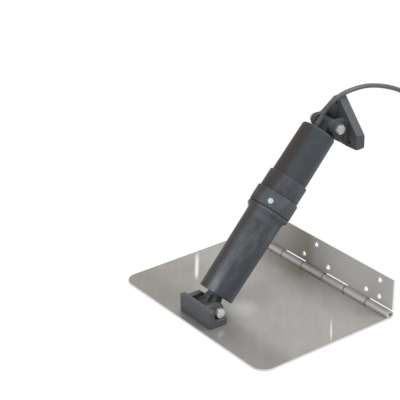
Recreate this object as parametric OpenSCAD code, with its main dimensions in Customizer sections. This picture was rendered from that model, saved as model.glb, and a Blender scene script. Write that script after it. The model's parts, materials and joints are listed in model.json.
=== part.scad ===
// Boat trim tab: a stainless tab hinged on a transom leaf, worked by an electric
// actuator that leans between the tab and a three-screw transom bracket.
// X runs along the hinge, +Y forward through the transom and +Z up. The origin is
// the middle of the leaf's four corner holes, on its transom face.

/* [Tab] */
// Length of the tab along the hinge
tab_span = 304.8; // [260:0.1:460]
// Depth of the tab from the transom face to the trailing edge
tab_chord = 224.5; // [216:0.5:320]
// Thickness of the stainless sheet of the tab and the leaf
sheet_t = 2.5; // [2:0.1:3]
// Radius of the two trailing corners
corner_r = 20; // [4:1:60]

/* [Hinge] */
// Diameter of the hinge pin
hinge_pin_d = 6; // [4:0.1:8]
// Number of knuckles along the hinge
knuckles = 7; // [3:2:11]
// Height of the leaf above the tab
leaf_h = 52.9; // [50:0.1:90]
// End gap between neighbouring knuckles
knuckle_gap = 0.6; // [0.3:0.1:2]
// Gap between a knuckle and the notch that it turns in
notch_gap = 0.8; // [0.6:0.1:3]
// How far the pin lies inside the end knuckles
pin_recess = 4; // [0:0.5:8]

/* [Transom holes] */
// Diameter of the screw holes in the leaf
leaf_hole_d = 7.4; // [5:0.1:8]
// Height of the lower row of holes above the tab
low_row_h = 19.2; // [16:0.1:26]
// Height of the upper row above the lower row
row_gap = 24.8; // [20:0.1:27]
// Distance of the end holes from the ends of the leaf
end_margin = 25.4; // [12:0.1:40]
// Distance between the two lower holes at each end
end_pair = 25.4; // [15:0.1:40]
// Distance between the two lower holes at mid-span
mid_pair = 50.8; // [30:0.1:80]

/* [Lower bracket] */
// Distance from the transom face aft to the lower pivot
lower_pin_aft = 191.7; // [150:0.1:194]
// Height of the lower pivot above the tab
lower_pin_h = 14.7; // [14.5:0.1:24]
// Length of the bracket along the pivot
foot_w = 66; // [64:0.5:90]
// Depth of the bracket's foot, aft to fore
foot_depth = 29.4; // [29.4:0.1:36]
// Thickness of the bracket's foot
foot_t = 8.3; // [7:0.1:8.5]
// Thickness of the foot under the rod end
foot_floor = 5.5; // [4:0.1:6]
// Height of the aft flange above the tab
flange_h = 27; // [20:0.5:34]
// Thickness of the aft flange
flange_t = 7; // [5:0.1:8]
// Distance from the flange's aft face to the pivot
flange_back = 21.2; // [20:0.1:22]
// Distance from the pivot to the front of the bracket's ears
foot_ear_r = 7.6; // [6.5:0.1:8]
// Thickness of each ear
foot_ear_t = 8.1; // [5:0.1:8.5]
// Spacing of the foot's screws along the pivot
foot_screw_x = 54; // [52:0.5:56]
// Spacing of the foot's screws fore and aft
foot_screw_y = 16; // [10:0.5:18]
// Diameter of the foot's countersunk screws
foot_screw_d = 5; // [3:0.1:6]

/* [Actuator body] */
// Lean of the actuator forward from the vertical
lean = 43; // [30:0.5:48]
// Travel of the ram
stroke = 57; // [40:1:62]
// Distance of the actuator's axis forward of the lower pivot
rod_off = 0.7; // [0:0.1:3]
// Distance from the lower pivot to the mouth of the barrel
mouth_gap = 18.3; // [17:0.1:30]
// Length of the barrel from its mouth to the lip
barrel_len = 123; // [116:0.5:150]
// Outside diameter of the barrel at its mouth
barrel_d = 49.3; // [46:0.1:54]
// How much wider the barrel is at its lip
barrel_draft = 2.7; // [0:0.1:3]
// Wall of the barrel at its mouth
barrel_wall = 4; // [3:0.1:5]
// How far the barrel's lip lies inside the union ring
lip_step = 0.3; // [0:0.1:1.5]
// Height of the lip with its chamfer
lip_h = 8.5; // [7:0.5:12]
// Height of the lip's plain band
lip_band = 4; // [2:0.5:6]
// Wall of the barrel's spigot inside the union ring
spigot_t = 2.6; // [2:0.1:4]
// Wall of the union ring round the spigot
ring_wall = 2.1; // [1.5:0.1:4]
// Height of the union ring
ring_h = 22.7; // [20:0.1:30]
// Groove between the lip and the union ring
ring_gap = 0.8; // [0.4:0.1:2]
// Wall of the seal collar
collar_wall = 2.4; // [1.5:0.1:4]
// Height of the seal collar
collar_h = 26; // [10:0.5:40]
// Outside diameter of the motor housing at its end
motor_housing_d = 49.3; // [44:0.1:56]
// How much wider the motor housing is at the collar
housing_draft = 1.8; // [0:0.1:2.5]
// Wall of the motor housing at its end
motor_wall = 3.5; // [3:0.1:4]
// Length of the motor housing above the collar
motor_housing_h = 76.5; // [70:0.5:120]
// Thickness of the motor housing's end
end_wall = 7.5; // [5:0.5:10]
// Edge radius of the motor housing's end
end_r = 4; // [1:0.5:6]
// Diameter of the locking plug in the union ring
plug_d = 7.4; // [5:0.1:9]

/* [Ram and drive] */
// Thickness of the guides between the ram and the barrel
guide_t = 2.6; // [2:0.1:4]
// Wall of the ram
ram_wall = 5; // [3.5:0.1:6]
// Diameter of the lead screw
screw_d = 12; // [8:0.5:14]
// Thickness of the cushion round the motor
cushion_t = 2.6; // [2:0.1:4]
// Length of the motor
motor_len = 62; // [50:0.5:66]
// Length of the gearbox
gearbox_len = 25.5; // [18:0.5:30]
// Length of the drive nut
nut_len = 20; // [12:0.5:24]

/* [Pivots] */
// Diameter of the two pivot bolts
bolt_d = 8; // [6:0.5:8]
// Width across flats of the bolt heads and nuts
bolt_af = 12; // [11:0.1:12.2]
// Height of the bolt heads
bolt_head_h = 5.3; // [4:0.1:6]
// Height of the nuts
nut_h = 5; // [4:0.1:8]
// Side clearance of a lug between its ears
lug_side_gap = 0.4; // [0.2:0.1:1]
// Width of the rod end between the lower ears
rod_end_w = 30; // [24:0.1:31]
// Radius of the rod end's barrel
rod_end_r = 8; // [6.5:0.1:8.2]

/* [Upper bracket] */
// Distance from the end of the motor housing to the upper pivot
lug_reach = 13.8; // [13.5:0.1:20]
// Distance of the upper pivot forward of the actuator's axis
lug_off = 5.5; // [4.5:0.1:8]
// Radius of the housing's lug round the upper pivot
lug_r = 9.5; // [7:0.1:9.5]
// Width of the housing's lug between the ears
lug_w = 25; // [20:0.5:28]
// Height of the ears above the upper pivot
ear_r = 10.2; // [9:0.1:11]
// Thickness of each ear
ear_t = 7.5; // [5:0.1:10]
// Radius of the boss on each ear
boss_r = 9; // [8:0.1:10]
// Height of the boss
boss_h = 3; // [1:0.1:4]
// Distance from the upper pivot forward to the base
base_reach = 15.25; // [14.5:0.05:24]
// Thickness of the base
base_t = 13; // [6:0.5:16]
// Width of the base
base_w = 86.6; // [80:0.2:100]
// Height of the base's apex above the upper pivot
apex_h = 36.4; // [34:0.1:44]
// Height of the base's shoulders below the upper pivot
shoulder_drop = 10.1; // [6:0.1:14]
// Height of the base's lower edge below the upper pivot
base_drop = 30.9; // [30:0.1:44]
// How much the sides and the lower edge of the base draw in towards its front
base_taper = 2; // [0.5:0.1:3]
// Height of the arch under the base between the ears
arch_h = 3; // [2:0.5:6]
// Width of the arch
arch_w = 44; // [40:0.5:46]
// Side of the triangle of screw holes
base_hole_side = 56; // [52:0.5:60]
// Height of the lower screw holes above the base's lower edge
base_hole_up = 9; // [8:0.1:14]
// Diameter of the base's screw holes
base_hole_d = 5; // [4.5:0.1:7]

/* [Cable] */
// Diameter of the cable
cable_d = 6.3; // [5:0.1:7]
// Distance of the cable from the actuator's axis
cable_off = 10; // [9.5:0.1:13]
// Height of the cable gland above the housing's end
gland_h = 5; // [3:0.5:8]
// Middle diameter of the coil's turns
coil_d = 70; // [63:0.5:76]
// Diameter of the connector
connector_d = 16; // [12:0.5:20]
// Thickness of the coil's tie
tie_t = 0.8; // [0.5:0.1:1.5]

/* [Hidden] */
$fn = 96;
// Running fit of pins and sliding pieces, on the radius
run_fit = 0.05;
// Seat of one fixed round piece in another, on the radius
seat_fit = 0.1;
// Overlap that keeps cuts clean
eps = 1;

deck = -(low_row_h + row_gap / 2);
floor_z = deck - sheet_t;
knuckle_r = hinge_pin_d / 2 + run_fit + sheet_t;
hinge_y = -knuckle_r;
hinge_z = floor_z + knuckle_r;
knuckle_w = tab_span / knuckles;
curl_seam = 0.4;

lower_pin_z = deck + lower_pin_h;
foot_y = -lower_pin_aft - flange_back;
foot_ear_in = rod_end_w / 2 + lug_side_gap;
foot_ear_out = foot_ear_in + foot_ear_t;
flange_r = 3.5;
foot_r = 4;
bolt_end = 1.5;
csk_d = 2 * foot_screw_d;
csk_flush = 0.05;
foot_screw_depth = foot_t - 2;

// Stations along the actuator, measured from the lower pivot
lip_z = mouth_gap + barrel_len;
lip_top = lip_z + lip_h;
ring_z = lip_top + ring_gap;
ring_top = ring_z + ring_h;
collar_top = ring_top + collar_h;
cap_z = collar_top + motor_housing_h;
pin_span = cap_z + lug_reach;
seat_z = lip_top + 2.7;
spigot_top = ring_z + ring_h * 0.66;
housing_r = (motor_housing_d + housing_draft) / 2;
housing_seat_r = housing_r + seat_fit;
spigot_r = housing_r + spigot_t;
ring_r = spigot_r + seat_fit + ring_wall;
lip_r = ring_r - lip_step;
o_ring_d = 0.6 * spigot_t;
bore_r = barrel_d / 2 - barrel_wall;
motor_bore_r = motor_housing_d / 2 - motor_wall;
motor_r = motor_bore_r - cushion_t;
plug_z = ring_z + 8.9;
plug_angle = -55;
pad_w = plug_d + 8;
pad_h = 0.4;

ram_r = bore_r - guide_t;
ram_bore_r = ram_r - ram_wall;
ram_z = mouth_gap + 1.5;
ram_top = lip_z - 7;
spigot_len = 23.5;
spigot_rod_top = ram_z + spigot_len;
cross_pin_d = 5;
cross_pin_z = ram_z + 12.5;
wiper_h = 6.3;
bush_z = ram_z + wiper_h + 0.2;
bush_h = 20;
guide_h = 12;
guide_z = ram_top - guide_h - 2;
neck_r = min(10, ram_bore_r - 1);
web_t = 11;
rib_t = 5;

screw_r = screw_d / 2;
screw_low = ram_top - nut_len - stroke + 4;
bearing_z = seat_z + 0.2;
bearing_h = 10;
gearbox_z = bearing_z + bearing_h + 0.2;
motor_z = gearbox_z + gearbox_len + 0.2;
journal_r = screw_r - 1;
journal_in = 11;
journal_top = gearbox_z + journal_in;
motor_boss_d = 12;
motor_boss_h = 3;
cushion_h = 14;
cushion_z = motor_z + motor_len - cushion_h - 4;

upper_pin_y = -lower_pin_aft + pin_span * sin(lean) + (rod_off + lug_off) * cos(lean);
upper_pin_z = lower_pin_z + pin_span * cos(lean) - (rod_off + lug_off) * sin(lean);
ear_in = lug_w / 2 + lug_side_gap;
ear_out = ear_in + ear_t;
head_seat = ear_out + boss_h;
base_r = 6;
base_land = 1.5;
shoulder_r = 8;
apex_r = 7.5;
ear_back = 10.8;
// Lower edge of an ear: its heel from the pivot, its knee and toe from the base's lower front edge
ear_heel = [-4.5, -12.3];
ear_knee = [-5.5, 9.1];
ear_toe = 2.5;
ear_fillet_r = 2.7;
base_y = upper_pin_y + base_reach;
base_low = upper_pin_z - base_drop;
base_hole_low = base_low + base_hole_up;
base_hole_r = base_hole_side / sqrt(3);
base_hole_mid = base_hole_low + base_hole_r / 2;

// Cable route, from the gland to the coil and from the coil to the connector
coil_x = 110;
coil_y = 137;
coil_low = floor_z + tie_t;
coil_turn_r = coil_d / 2 + cable_d;
lead_route = [
    [0, -6.9, 194.8], [0, -3.6, 198.4], [0.5, -0.2, 202.5], [1.5, 2.6, 209.5], [3, 7, 216.5],
    [5, 15, 223.5], [7, 24.5, 229], [8, 35, 232], [8, 49.5, 233], [8, 67, 232.5], [8, 84.5, 229.5],
    [8, 103, 224], [8, 121, 217], [8, 136, 209.5], [8, 150, 199.5], [8, 162, 186.5],
    [8, 170, 172.5], [8, 175, 156.5], [8, 177, 138.5], [8, 178, 120.5], [8, 178, 102.5],
    [8, 178, 84.5], [8, 178, 66.5], [8, 178, 48.5], [8, 178, 30.5], [8.5, 178, 12.5],
    [11, 178, -2.5], [17, 178, -15.5], [27, 178, -25], [40, 178, -29.5], [54, 178, -30.5],
    [68, 178, -30], [82, 178, -30], [96, 178, -30], [110, 178, -30]
];
tail_route = [
    [151.3, 137, -23.7], [151.3, 125, -24], [151.3, 113, -25], [151.3, 101, -25.9],
    [151.3, 94, -26.1]
];
connector_l = 42;
boot_l = 11;
grip_l = 12;
grip_z = 14;
face_groove = 2;

steel = "#b3b0ab";
bright = "#d8dade";
black = "#3c3e41";
rubber = "#2b2b2c";
bronze = "#b08d57";

function unit(v) = v / norm(v);

// Arc that rounds the corner q between p and s with radius r
function rounded_corner(p, q, s, r, steps = 10) =
    let (
        to_p = unit(p - q),
        to_s = unit(s - q),
        half = acos(to_p * to_s) / 2,
        centre = q + unit(to_p + to_s) * r / sin(half),
        from = q + to_p * r / tan(half) - centre,
        to = q + to_s * r / tan(half) - centre,
        start = atan2(from.y, from.x),
        sweep = (atan2(to.y, to.x) - start + 540) % 360 - 180
    )
    [for (i = [0:steps]) centre + r * [cos(start + sweep * i / steps), sin(start + sweep * i / steps)]];

// Outline through the given corners, each rounded with its own radius
function rounded_outline(corners, radii) =
    let (n = len(corners))
    [for (i = [0:n - 1]) each radii[i] > 0
        ? rounded_corner(corners[(i + n - 1) % n], corners[i], corners[(i + 1) % n], radii[i])
        : [corners[i]]];

function knuckle_x(i) = -tab_span / 2 + i * knuckle_w;

// Directions along a route, and normals carried along it without twist
function tangents(route) =
    let (last = len(route) - 1)
    [for (i = [0:last]) unit(route[min(i + 1, last)] - route[max(i - 1, 0)])];
function normals(dirs) =
    [for (i = 0, n = unit(cross(dirs[0], [1, 0.2, 0])); i < len(dirs);
          i = i + 1, n = i < len(dirs) ? unit(n - (n * dirs[i]) * dirs[i]) : n) n];

// Draws a (y, z) profile and runs it along X
module along_x(from, length) {
    translate([from, 0, 0]) rotate([90, 0, 90]) linear_extrude(length) children();
}

// Draws in the actuator's own frame: its axis along Z, heights measured from the lower pivot
module on_actuator() {
    at_lower_pin() rotate([-lean, 0, 0]) translate([0, rod_off, 0]) children();
}

module x_rod(d, from, to) {
    translate([from, 0, 0]) rotate([0, 90, 0]) cylinder(d = d, h = to - from);
}

module pipe(r_out, r_in, from, to) {
    translate([0, 0, from]) difference() {
        cylinder(r = r_out, h = to - from);
        translate([0, 0, -eps]) cylinder(r = r_in, h = to - from + 2 * eps);
    }
}

module knuckle(i) {
    along_x(knuckle_x(i) + knuckle_gap / 2, knuckle_w - knuckle_gap)
        translate([hinge_y, hinge_z]) circle(knuckle_r);
}

module hinge_bore() {
    translate([0, hinge_y, hinge_z]) x_rod(hinge_pin_d + 2 * run_fit, -tab_span, tab_span);
}

// Room along the hinge for knuckle i of the other sheet
module knuckle_room(i, y, z, depth, height) {
    translate([knuckle_x(i) - knuckle_gap / 2, y, z]) cube([knuckle_w + knuckle_gap, depth, height]);
}

module foot_screw_places() {
    for (x = [-1, 1], y = [-1, 1])
        translate([x * foot_screw_x / 2, foot_y + foot_depth / 2 + y * foot_screw_y / 2, floor_z]) children();
}

module tab_plate() {
    half = tab_span / 2;
    outline = rounded_outline(
        [[-half, -tab_chord], [half, -tab_chord], [half, hinge_y], [-half, hinge_y]],
        [corner_r, corner_r, 0, 0]
    );
    curls = [for (i = [0:2:knuckles - 1]) i];
    rooms = [for (i = [1:2:knuckles - 1]) i];
    color(steel) difference() {
        union() {
            translate([0, 0, floor_z]) linear_extrude(sheet_t) polygon(outline);
            for (i = curls) knuckle(i);
        }
        for (i = rooms)
            knuckle_room(i, -2 * knuckle_r - notch_gap, floor_z - eps, 2 * knuckle_r, sheet_t + 2 * eps);
        for (i = curls)
            knuckle_room(i, -2 * knuckle_r - eps, deck, knuckle_r + eps - hinge_pin_d / 2, curl_seam);
        hinge_bore();
        foot_screw_places() {
            translate([0, 0, -eps]) cylinder(d = foot_screw_d + 2 * seat_fit, h = sheet_t + 2 * eps);
            translate([0, 0, -csk_flush])
                cylinder(d1 = csk_d + 2 * seat_fit, d2 = foot_screw_d + 2 * seat_fit, h = sheet_t);
        }
    }
}

module hinge_pin() {
    color(bright) translate([0, hinge_y, hinge_z])
        x_rod(hinge_pin_d, -tab_span / 2 + pin_recess, tab_span / 2 - pin_recess);
}

module hinge_leaf() {
    curls = [for (i = [1:2:knuckles - 1]) i];
    rooms = [for (i = [0:2:knuckles - 1]) i];
    end_x = tab_span / 2 - end_margin;
    low_holes = [-end_x, end_pair - end_x, -mid_pair / 2, mid_pair / 2, end_x - end_pair, end_x];
    high_holes = [-end_x, 0, end_x];
    color(steel) difference() {
        union() {
            translate([-tab_span / 2, -sheet_t, hinge_z]) cube([tab_span, sheet_t, deck + leaf_h - hinge_z]);
            for (i = curls) knuckle(i);
        }
        for (i = rooms)
            knuckle_room(i, -sheet_t - eps, hinge_z - eps, sheet_t + 2 * eps, knuckle_r + notch_gap + eps);
        for (i = curls)
            knuckle_room(i, -sheet_t - curl_seam, hinge_z + hinge_pin_d / 2, curl_seam, knuckle_r);
        hinge_bore();
        for (x = low_holes) leaf_hole(x, deck + low_row_h);
        for (x = high_holes) leaf_hole(x, deck + low_row_h + row_gap);
    }
}

module leaf_hole(x, z) {
    translate([x, eps, z]) rotate([90, 0, 0]) cylinder(d = leaf_hole_d, h = sheet_t + 2 * eps);
}

module lower_bracket() {
    half = foot_w / 2;
    section = rounded_outline(
        [[0, 0], [foot_depth, 0], [foot_depth, foot_t], [flange_t, foot_t], [flange_t, flange_h],
         [0, flange_h]],
        [0.6, 0.6, 2.5, 2, 1.2, 1.8]
    );
    seen_aft = rounded_outline(
        [[-half, 0], [half, 0], [half, flange_h], [-half, flange_h]],
        [0, 0, flange_r, flange_r]
    );
    seen_above = rounded_outline(
        [[-half, 0], [half, 0], [half, foot_depth], [-half, foot_depth]],
        [1, 1, foot_r, foot_r]
    );
    ear_front = flange_back + foot_ear_r;
    ear = rounded_outline(
        [[flange_t - 1, foot_t - 1], [ear_front, foot_t - 1], [ear_front, flange_h],
         [flange_t - 1, flange_h]],
        [0, 0, foot_ear_r - 1, 0]
    );
    color(black) difference() {
        translate([0, foot_y, deck]) union() {
            intersection() {
                along_x(-half, foot_w) polygon(section);
                on_base(-eps, foot_depth + 2 * eps) polygon(seen_aft);
                linear_extrude(flange_h) polygon(seen_above);
            }
            for (x = [-foot_ear_out, foot_ear_in]) along_x(x, foot_ear_t) polygon(ear);
        }
        translate([-foot_ear_in, foot_y + flange_t, deck + foot_floor])
            cube([2 * foot_ear_in, foot_depth, flange_h]);
        at_lower_pin() x_rod(bolt_d + 2 * seat_fit, -foot_w, foot_w);
        foot_screw_places() translate([0, 0, sheet_t - eps])
            cylinder(d = foot_screw_d + 2 * seat_fit, h = foot_screw_depth + eps + 0.5);
    }
}

module lower_bracket_screws() {
    color(bright) foot_screw_places() union() {
        translate([0, 0, csk_flush]) cylinder(d1 = csk_d, d2 = foot_screw_d, h = sheet_t - csk_flush);
        translate([0, 0, sheet_t - 0.2]) cylinder(d = foot_screw_d, h = foot_screw_depth + 0.2);
    }
}

// Hex bolt through two ears whose outer faces lie at half_w, with its head at +X
module pivot_bolt(half_w) {
    color(bright) union() {
        x_rod(bolt_d, -half_w - nut_h - bolt_end, half_w);
        translate([half_w, 0, 0]) rotate([0, 90, 0]) intersection() {
            rotate([0, 0, 30]) cylinder(d = bolt_af / cos(30), h = bolt_head_h, $fn = 6);
            cylinder(r1 = bolt_af * 0.95, r2 = bolt_af * 0.5, h = bolt_head_h);
        }
    }
}

module pivot_nut(half_w) {
    color(bright) translate([-half_w - nut_h, 0, 0]) rotate([0, 90, 0]) difference() {
        intersection() {
            rotate([0, 0, 30]) cylinder(d = bolt_af / cos(30), h = nut_h, $fn = 6);
            cylinder(r1 = bolt_af * 0.5, r2 = bolt_af * 1.0, h = nut_h);
        }
        translate([0, 0, -eps]) cylinder(d = bolt_d + 2 * seat_fit, h = nut_h + 2 * eps);
    }
}

module at_lower_pin() {
    translate([0, -lower_pin_aft, lower_pin_z]) children();
}

module at_upper_pin() {
    translate([0, upper_pin_y, upper_pin_z]) children();
}

module lower_bolt() {
    at_lower_pin() pivot_bolt(foot_ear_out);
}

module lower_nut() {
    at_lower_pin() pivot_nut(foot_ear_out);
}

module rod_end() {
    web_low = rod_end_w / 2;
    color(black) on_actuator() difference() {
        union() {
            translate([0, -rod_off, 0]) x_rod(2 * rod_end_r, -web_low, web_low);
            translate([0, web_t / 2, 0]) rotate([90, 0, 0]) linear_extrude(web_t)
                polygon([[-web_low, 2], [web_low, 2], [web_low, 4], [neck_r, ram_z - 3], [neck_r, ram_z],
                         [-neck_r, ram_z], [-neck_r, ram_z - 3], [-web_low, 4]]);
            translate([-rib_t / 2, -rod_off - rod_end_r, 0]) cube([rib_t, 2 * rod_end_r, ram_z]);
            translate([0, 0, ram_z - 5]) cylinder(r = neck_r, h = 5);
            translate([0, 0, ram_z]) cylinder(r = ram_bore_r - seat_fit, h = spigot_len);
        }
        translate([0, -rod_off, 0]) x_rod(bolt_d + 2 * run_fit, -web_low - eps, web_low + eps);
        translate([0, 0, cross_pin_z]) x_rod(cross_pin_d + 2 * seat_fit, -2 * ram_r, 2 * ram_r);
    }
}

module rod_end_pin() {
    color(bright) on_actuator() translate([0, 0, cross_pin_z]) x_rod(cross_pin_d, 1 - ram_r, ram_r - 1);
}

module ram_tube() {
    color(black) on_actuator() difference() {
        pipe(ram_r, ram_bore_r, ram_z, ram_top);
        translate([0, 0, cross_pin_z]) x_rod(cross_pin_d + 2 * seat_fit, -2 * ram_r, 2 * ram_r);
    }
}

module drive_nut() {
    color(bronze) on_actuator() pipe(ram_bore_r - seat_fit, screw_r + run_fit, ram_top - nut_len, ram_top);
}

module ram_guide_ring() {
    color("ivory") on_actuator() pipe(bore_r - run_fit, ram_r + seat_fit, guide_z, guide_z + guide_h);
}

module barrel() {
    edge = 1;
    out_r = barrel_d / 2;
    top_r = out_r + barrel_draft / 2;
    color(black) on_actuator() rotate_extrude() polygon([
        [bore_r, mouth_gap], [out_r - edge, mouth_gap], [out_r, mouth_gap + edge], [top_r, lip_z],
        [lip_r, lip_top - lip_band], [lip_r, lip_top - edge / 2], [lip_r - edge / 2, lip_top],
        [spigot_r, lip_top], [spigot_r, spigot_top], [housing_seat_r, spigot_top], [housing_seat_r, seat_z],
        [bore_r, seat_z]
    ]);
}

module union_ring() {
    edge = 0.8;
    out_r = ring_r;
    low_r = spigot_r + seat_fit;
    top_r = housing_seat_r;
    step_z = spigot_top + o_ring_d + 0.1;
    color(black) on_actuator() difference() {
        union() {
            rotate_extrude() polygon([
                [low_r, ring_z], [out_r - edge, ring_z], [out_r, ring_z + edge], [out_r, ring_top - edge],
                [out_r - edge, ring_top], [top_r, ring_top], [top_r, step_z], [low_r, step_z]
            ]);
            plug_pad(out_r, low_r);
        }
        rotate([0, 0, plug_angle]) translate([0, 0, plug_z]) x_rod(plug_d, low_r - eps, out_r + 3);
    }
}

// Low arched pad that carries the plug, from the ring's lower edge up round the plug
module plug_pad(out_r, low_r) {
    intersection() {
        pipe(out_r + pad_h, low_r + 1, ring_z + 1, ring_top - 1);
        rotate([0, 0, plug_angle]) translate([low_r, 0, plug_z]) rotate([90, 0, 90]) linear_extrude(6) {
            circle(pad_w / 2);
            translate([-pad_w / 2, -pad_w]) square([pad_w, pad_w]);
        }
    }
}

module lock_plug() {
    color("white") on_actuator() rotate([0, 0, plug_angle]) translate([0, 0, plug_z])
        x_rod(plug_d - 2 * run_fit, spigot_r + 0.3, ring_r + pad_h);
}

module seal_collar() {
    edge = 0.8;
    in_r = housing_seat_r;
    out_r = in_r + collar_wall;
    color(black) on_actuator() rotate_extrude() polygon([
        [in_r, ring_top], [out_r, ring_top], [out_r, collar_top - edge], [out_r - edge, collar_top],
        [in_r, collar_top]
    ]);
}

module housing_seal() {
    color(rubber) on_actuator() rotate_extrude()
        translate([(spigot_r + housing_r) / 2 + seat_fit / 2, spigot_top + o_ring_d / 2 + 0.05])
            circle(d = o_ring_d, $fn = 32);
}

module motor_housing() {
    out_r = motor_housing_d / 2;
    profile = rounded_outline(
        [[0, cap_z - end_wall], [motor_bore_r, cap_z - end_wall], [motor_bore_r, seat_z], [housing_r, seat_z],
         [housing_r, collar_top], [out_r, cap_z], [0, cap_z]],
        [0, 1, 0, 0, 0, end_r, 0]
    );
    color(black) on_actuator() difference() {
        union() {
            rotate_extrude() polygon(profile);
            along_x(-lug_w / 2, lug_w) {
                translate([lug_off, pin_span]) circle(lug_r);
                translate([lug_off - lug_r, cap_z - 1]) square([2 * lug_r, lug_reach + 1]);
            }
        }
        translate([0, lug_off, pin_span]) x_rod(bolt_d + 2 * run_fit, -lug_w, lug_w);
        translate([0, -cable_off, cap_z - end_wall - eps])
            cylinder(d = cable_d + 1.7, h = end_wall + 2 * eps);
    }
}

module guide_bush() {
    color("ivory") on_actuator() pipe(bore_r - seat_fit, ram_r + run_fit, bush_z, bush_z + bush_h);
}

module wiper_seal() {
    color(rubber) on_actuator() pipe(bore_r - seat_fit, ram_r + run_fit, ram_z, ram_z + wiper_h);
}

module thrust_bearing() {
    color(bright) on_actuator()
        pipe(motor_bore_r - seat_fit, screw_r + run_fit, bearing_z, bearing_z + bearing_h);
}

module gearbox() {
    color(steel) on_actuator() difference() {
        translate([0, 0, gearbox_z]) cylinder(r = motor_bore_r - 2 * seat_fit, h = gearbox_len);
        translate([0, 0, gearbox_z - eps])
            cylinder(r = journal_r + run_fit, h = journal_top - gearbox_z + 0.5 + eps);
    }
}

module motor() {
    color(steel) on_actuator() union() {
        translate([0, 0, motor_z]) cylinder(r = motor_r, h = motor_len);
        translate([0, 0, motor_z + motor_len - eps]) cylinder(d = motor_boss_d, h = motor_boss_h + eps);
    }
}

module motor_cushion() {
    color(rubber) on_actuator()
        pipe(motor_bore_r - seat_fit, motor_r + seat_fit, cushion_z, cushion_z + cushion_h);
}

module lead_screw() {
    color(bright) on_actuator() union() {
        translate([0, 0, screw_low]) cylinder(r = screw_r, h = bearing_z + bearing_h - screw_low);
        translate([0, 0, bearing_z - 4.2]) cylinder(r = screw_r + 4, h = 4);
        translate([0, 0, bearing_z]) cylinder(r = journal_r, h = journal_top - bearing_z);
    }
}

module cable_gland() {
    shank = cable_d / 2 + 0.75;
    color(rubber) on_actuator() translate([0, -cable_off, cap_z]) union() {
        cylinder(r1 = shank + 0.7, r2 = cable_d / 2 + 0.4, h = gland_h);
        translate([0, 0, -end_wall + 1]) cylinder(r = shank, h = end_wall);
    }
}

// Round tube swept along a route
module cord(route, d) {
    sides = 10;
    dirs = tangents(route);
    across = normals(dirs);
    last = len(route) - 1;
    points = [for (i = [0:last], k = [0:sides - 1]) let (a = k * 360 / sides)
        route[i] + d / 2 * (cos(a) * across[i] + sin(a) * cross(dirs[i], across[i]))];
    walls = [for (i = [0:last - 1], k = [0:sides - 1]) let (m = (k + 1) % sides)
        [i * sides + k, (i + 1) * sides + k, (i + 1) * sides + m, i * sides + m]];
    caps = [[for (k = [0:sides - 1]) k], [for (k = [sides - 1:-1:0]) last * sides + k]];
    polyhedron(points, concat(walls, caps));
}

module cable_lead() {
    color(black) cord(lead_route, cable_d);
}

module cable_coil() {
    in_r = coil_d / 2 - 1.5 * cable_d;
    color(black) translate([coil_x, coil_y, coil_low]) rotate_extrude()
        polygon(rounded_outline(
            [[in_r, 0], [in_r + 3 * cable_d, 0], [in_r + 3 * cable_d, 2 * cable_d], [in_r, 2 * cable_d]],
            [1, 1, 1, 1] * cable_d * 0.45
        ));
}

module coil_tie() {
    slack = 0.2;
    width = 8;
    hole_r = coil_d / 2 - 1.5 * cable_d;
    in_r = sqrt(hole_r * hole_r - width * width / 4) - slack;
    out_r = coil_d / 2 + 1.5 * cable_d + slack;
    color(rubber) translate([coil_x, coil_y, floor_z]) rotate([0, 0, -60]) difference() {
        translate([in_r - tie_t, -width / 2, 0])
            cube([out_r - in_r + 2 * tie_t, width, 2 * cable_d + 2 * tie_t + slack]);
        translate([in_r, -width, tie_t]) cube([out_r - in_r, 2 * width, 2 * cable_d + slack]);
    }
}

module cable_tail() {
    color(black) cord(tail_route, cable_d);
}

module cable_connector() {
    out_r = connector_d / 2;
    boot_r = cable_d / 2 + 1.5;
    neck = out_r - 1.5;
    grip_end = grip_z + grip_l;
    color(rubber) translate(tail_route[len(tail_route) - 1]) rotate([90, 0, 0]) rotate_extrude() polygon([
        [0, 0], [boot_r, 0], [neck, boot_l], [neck, grip_z], [out_r, grip_z], [out_r, grip_end],
        [out_r - 1, grip_end], [out_r - 1, grip_end + face_groove], [out_r, grip_end + face_groove],
        [out_r, connector_l - 1], [out_r - 1, connector_l], [0, connector_l]
    ]);
}

module upper_bracket() {
    half = base_w / 2;
    apex_slope = atan(half / (apex_h + shoulder_drop + apex_r / 2));
    apex_tip = apex_h + apex_r / sin(apex_slope) - apex_r;
    outline = rounded_outline(
        [[-half, -base_drop], [half, -base_drop], [half, -shoulder_drop], [0, apex_tip],
         [-half, -shoulder_drop]],
        [base_r, base_r, shoulder_r, apex_r, shoulder_r]
    );
    arch_end = arch_w / 2;
    arch = rounded_outline(
        [[-arch_end, -base_drop - eps], [arch_end, -base_drop - eps], [arch_end - arch_h, arch_h - base_drop],
         [arch_h - arch_end, arch_h - base_drop]],
        [0, 0, arch_h, arch_h]
    );
    color(black) difference() {
        at_upper_pin() union() {
            difference() {
                on_base(base_reach, base_t) polygon(outline);
                on_base(base_reach - eps, base_t + 2 * eps) polygon(arch);
                taper_cut([0, -base_drop], -90);
                for (side = [0, 1]) mirror([side, 0, 0]) taper_cut([half, 0], 0);
            }
            for (x = [-ear_out, ear_in]) along_x(x, ear_t) bracket_ear();
            for (side = [0, 1]) mirror([side, 0, 0]) x_rod(2 * boss_r, ear_out - 1, head_seat);
            for (side = [0, 1]) mirror([side, 0, 0]) ear_fillet();
        }
        at_upper_pin() x_rod(bolt_d + 2 * seat_fit, -base_w, base_w);
        for (a = [90, 210, 330])
            translate([base_hole_r * cos(a), base_y - eps, base_hole_mid + base_hole_r * sin(a)])
                rotate([-90, 0, 0]) cylinder(d = base_hole_d, h = base_t + 2 * eps);
    }
}

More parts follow.
